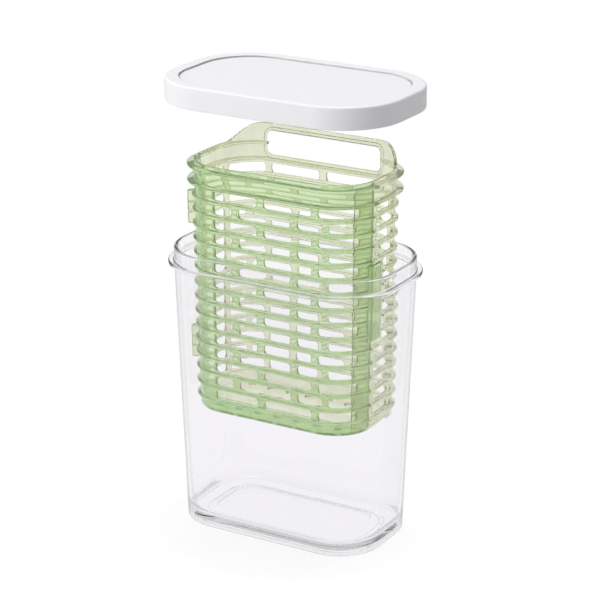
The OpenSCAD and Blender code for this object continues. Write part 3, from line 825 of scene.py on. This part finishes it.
class HERBKEEPER_OT_lid(bpy.types.Operator):
    """Builds the lid's cover, its liner and its seal"""

    bl_idname = "herbkeeper.lid"
    bl_label = "Lid"

    def execute(self, context):
        s = context.scene.herb_lid
        panel = LID_H - SUNK
        under, groove = panel - LID_WALL, panel - 1.2
        cover = loft(
            "lid_shell",
            LID,
            rounded(
                [
                    (-20, panel, 0),
                    (-BORDER - 0.9, panel, 0.2),
                    (-BORDER - 0.8, groove, 0.1),
                    (-BORDER + 2.0, groove, 0.1),
                    (-BORDER + 2.0, LID_H - 0.5, 0.1),
                    (-BORDER, LID_H - 0.22, 0.05),
                    (-BORDER, LID_H, 0.1),
                    (0, LID_H, s.edge_round / MM),
                    (0, 0, 0.7),
                    (-LID_WALL, 0, 0.6),
                    (-LID_WALL, under, 1.2),
                    (-20, under, 0),
                ],
                steps=6,
            ),
            LID_Z,
            steps=28,
        )
        # acrylonitrile butadiene styrene, moulded with a fine satin grain: bright white with soft highlights
        satin = opaque_plastic("ABS plastic, white satin, moulded", tuple(s.shell), 0.36, 0.1)
        dress(cover, satin, "lid", "white_plastic", "lid_cover")
        top = under - 0.02
        liner = loft(
            "lid_inner_plate",
            PLUG,
            rounded(
                [
                    (-14, LINER_FOOT, 0),
                    (-PLUG_WALL, LINER_FOOT, 1.0),
                    (-PLUG_WALL, PLUG_FOOT, 0.5),
                    (0, PLUG_FOOT, 0.7),
                    (0, SEAL[0], 0.1),
                    (-0.5, SEAL[0], 0.05),
                    (-0.5, SEAL[1], 0.05),
                    (0, SEAL[1], 0.1),
                    (0, LINER_FOOT, 0.8),
                    (LINER_REACH, LINER_FOOT, 0.3),
                    (LINER_REACH, top, 0),
                    (-14, top, 0),
                ],
                steps=4,
            ),
            LID_Z,
            steps=24,
        )
        # polypropylene, moulded: slightly waxy, a shade greyer than the shell
        waxy = opaque_plastic("PP plastic, white, moulded", tuple(s.inside), 0.42, 0.08)
        dress(liner, waxy, "lid", "white_plastic", "lid_liner")
        lo, hi = SEAL
        seal = loft(
            "lid_seal_ring",
            PLUG,
            rounded(
                [
                    (-0.48, lo + 0.02, 0.1),
                    (0.35, lo + 0.02, 0.1),
                    (1.1, lo + 0.45, 0.2),
                    (0.45, lo + 1.0, 0.2),
                    (0.45, lo + 1.4, 0.2),
                    (1.1, hi - 0.45, 0.2),
                    (0.35, hi - 0.02, 0.1),
                    (-0.48, hi - 0.02, 0.1),
                ],
                closed=True,
                steps=3,
            ),
            LID_Z,
            closed=True,
            steps=24,
        )
        # silicone, moulded: matt and slightly milky, with two lips
        matt = opaque_plastic("Silicone rubber, milky, moulded", tuple(s.seal), 0.55, 0.12)
        dress(seal, matt, "lid", "seal_rubber", "lid_seal")
        return {"FINISHED"}


WHITE = (1, 1, 1, 1)


def soft_lamp(name, place, aim, size_m, watts, shade):
    """Area lamp that faces a point."""
    lamp = bpy.data.lights.new(name, "AREA")
    lamp.shape = "RECTANGLE"
    lamp.size, lamp.size_y = size_m
    lamp.energy = watts
    lamp.color = shade
    obj = bpy.data.objects.new(name, lamp)
    obj.location = place
    obj.rotation_euler = (Vector(aim) - Vector(place)).to_track_quat("-Z", "Y").to_euler()
    bpy.context.scene.collection.objects.link(obj)
    return obj


def seen_in_plastic(tree, light, kind, place, sheen, coordinates, dim_y, full_y):
    """White through plastic or in a sheen, dimmer towards the front, and the given light for all else."""
    x, y = place
    path = node(tree, "ShaderNodeLightPath", (x - 600, y + 300))
    glossy = node(
        tree, "ShaderNodeMath", (x - 400, y + 400),
        {"operation": "MULTIPLY", 1: sheen}, {0: path.outputs["Is Glossy Ray"]},
    )
    seen = node(
        tree, "ShaderNodeMath", (x - 200, y + 300),
        {"operation": "MAXIMUM"}, {0: path.outputs["Is Transmission Ray"], 1: glossy.outputs[0]},
    )
    where = node(tree, "ShaderNodeTexCoord", (x - 1000, y - 400)).outputs[coordinates]
    axes = node(tree, "ShaderNodeSeparateXYZ", (x - 800, y - 400), {}, {0: where})
    level = node(
        tree, "ShaderNodeMapRange", (x - 600, y - 400),
        {"From Min": dim_y, "From Max": full_y, "To Min": 0.5, "To Max": 1.0}, {"Value": axes.outputs["Y"]},
    )
    white = node(tree, kind, (x - 200, y - 200), {"Color": WHITE}, {"Strength": level.outputs["Result"]})
    return node(
        tree, "ShaderNodeMixShader", place, {}, {0: seen.outputs[0], 1: light.outputs[0], 2: white.outputs[0]}
    )


def shown_white(tree, light, kind, place, share=None, level=None):
    """White for the camera, or a share of white at a level, and the given light for all else."""
    x, y = place
    shown = node(tree, "ShaderNodeLightPath", (x - 400, y + 300)).outputs["Is Camera Ray"]
    if share:
        product = node(
            tree, "ShaderNodeMath", (x - 200, y + 300), {"operation": "MULTIPLY"}, {0: shown, 1: share}
        )
        shown = product.outputs[0]
    white = node(
        tree, kind, (x - 200, y - 200), {"Color": WHITE, "Strength": 1.0}, {"Strength": level} if level else {}
    )
    return node(tree, "ShaderNodeMixShader", place, {}, {0: shown, 1: light.outputs[0], 2: white.outputs[0]})


class HERBKEEPER_OT_stage(bpy.types.Operator):
    """Builds the floor, the light and the camera"""

    bl_idname = "herbkeeper.stage"
    bl_label = "Stage"

    def execute(self, context):
        s = context.scene.herb_stage
        # a pale board that curves up behind, so that there is no far edge
        front, back, bend, top, side = -2.5, 1.6, 0.6, 3.0, 3.5
        turns = np.linspace(0.1, math.pi / 2, 10)
        curve = [(front, 0.0), (back, 0.0)]
        curve += [(back + bend * math.sin(a), bend - bend * math.cos(a)) for a in turns]
        curve += [(back + bend, top)]
        verts = [(x, y, z) for y, z in curve for x in (-side, side)]
        faces = [(2 * i, 2 * i + 1, 2 * i + 3, 2 * i + 2) for i in range(len(curve) - 1)]
        mesh = bpy.data.meshes.new("floor")
        mesh.from_pydata(verts, [], faces)
        mesh.shade_smooth()
        floor = bpy.data.objects.new("floor", mesh)
        context.scene.collection.objects.link(floor)
        made, tree, out = blank("Paper, white, matt")
        base = node(tree, "ShaderNodeBsdfDiffuse", (0, 0), {"Color": (*s.floor, 1)})
        # near the object the board keeps a soft shadow; further out it is seen as plain white
        where = node(tree, "ShaderNodeTexCoord", (-900, -200)).outputs["Object"]
        far = node(tree, "ShaderNodeVectorMath", (-700, -200), {"operation": "LENGTH"}, {0: where})
        near, past = 0.08, 0.17
        share, level = (
            node(
                tree, "ShaderNodeMapRange", (-500, y),
                {"From Min": near, "From Max": past, "To Min": low, "To Max": high},
                {"Value": far.outputs["Value"]},
            ).outputs["Result"]
            for y, low, high in ((-200, 0.6, 1.0), (-450, 1.31, 1.01))
        )
        shown = shown_white(tree, base, "ShaderNodeEmission", (300, 0), share, level)
        both = seen_in_plastic(tree, shown, "ShaderNodeEmission", (600, 0), 0.3, "Object", -0.5, -0.08)
        tree.links.new(both.outputs[0], out.inputs["Surface"])
        mesh.materials.append(made)

        world = bpy.data.worlds.new("studio")
        world.use_nodes = True
        context.scene.world = world
        tree = world.node_tree
        tree.nodes.clear()
        sky = node(tree, "ShaderNodeBackground", (-200, 0), {"Color": (*s.sky, 1), "Strength": 0.46})
        plain = shown_white(tree, sky, "ShaderNodeBackground", (0, 0))
        shown = seen_in_plastic(tree, plain, "ShaderNodeBackground", (300, 0), 0.5, "Generated", -0.4, 0.3)
        ends = node(tree, "ShaderNodeOutputWorld", (500, 0))
        tree.links.new(shown.outputs[0], ends.inputs["Surface"])

        aim = (0, 0, 0.14)
        key = soft_lamp("key", (-1.05, -1.6, 1.0), aim, size_m=(1.2, 1.2), watts=26, shade=(1, 0.995, 0.985))
        key.visible_glossy = key.visible_transmission = False  # no window-like patch on the clear wall
        soft_lamp("top", (0.0, 0.4, 1.8), aim, size_m=(1.4, 1.0), watts=14.5, shade=(1, 1, 1))

        view = bpy.data.cameras.new("camera")
        camera = bpy.data.objects.new("camera", view)
        context.scene.collection.objects.link(camera)
        target = Vector((0, 0, s.height))
        level_way = math.cos(s.rise)
        way = Vector((math.sin(s.turn) * level_way, -math.cos(s.turn) * level_way, math.sin(s.rise)))
        camera.location = target + way * s.distance
        camera.rotation_euler = way.to_track_quat("Z", "Y").to_euler()
        view.sensor_width = 36
        view.lens = s.lens
        view.shift_x, view.shift_y = 0.0089, -0.0309
        context.scene.camera = camera
        # light that is turned back many times inside the clear rim still gets out
        context.scene.cycles.max_bounces = 24
        context.scene.cycles.glossy_bounces = 16
        context.scene.cycles.transmission_bounces = 24
        context.scene.view_settings.view_transform = "Standard"
        return {"FINISHED"}


OPERATORS = (
    HERBKEEPER_OT_container,
    HERBKEEPER_OT_basket_back,
    HERBKEEPER_OT_basket_front,
    HERBKEEPER_OT_lid,
    HERBKEEPER_OT_stage,
)


class HERBKEEPER_PT_panel(bpy.types.Panel):
    """Lists the keeper's sizes, colours and builders"""

    bl_idname = "HERBKEEPER_PT_panel"
    bl_label = "Herb Keeper"
    bl_space_type = "VIEW_3D"
    bl_region_type = "UI"
    bl_category = "Herb Keeper"

    def draw(self, context):
        for name, kind in SETTINGS.items():
            box = self.layout.box()
            group = getattr(context.scene, name)
            for key in kind.__annotations__:
                box.prop(group, key)
        for operator in OPERATORS:
            self.layout.operator(operator.bl_idname)


def register():
    for name, kind in SETTINGS.items():
        bpy.utils.register_class(kind)
        setattr(bpy.types.Scene, name, bpy.props.PointerProperty(type=kind))
    for kind in (*OPERATORS, HERBKEEPER_PT_panel):
        bpy.utils.register_class(kind)


def unregister():
    for kind in reversed((*OPERATORS, HERBKEEPER_PT_panel)):
        bpy.utils.unregister_class(kind)
    for name, kind in SETTINGS.items():
        delattr(bpy.types.Scene, name)
        bpy.utils.unregister_class(kind)


def main():
    register()
    bpy.ops.herbkeeper.container()
    bpy.ops.herbkeeper.basket_back()
    bpy.ops.herbkeeper.basket_front()
    bpy.ops.herbkeeper.lid()
    bpy.ops.herbkeeper.stage()


if __name__ == "__main__":
    main()
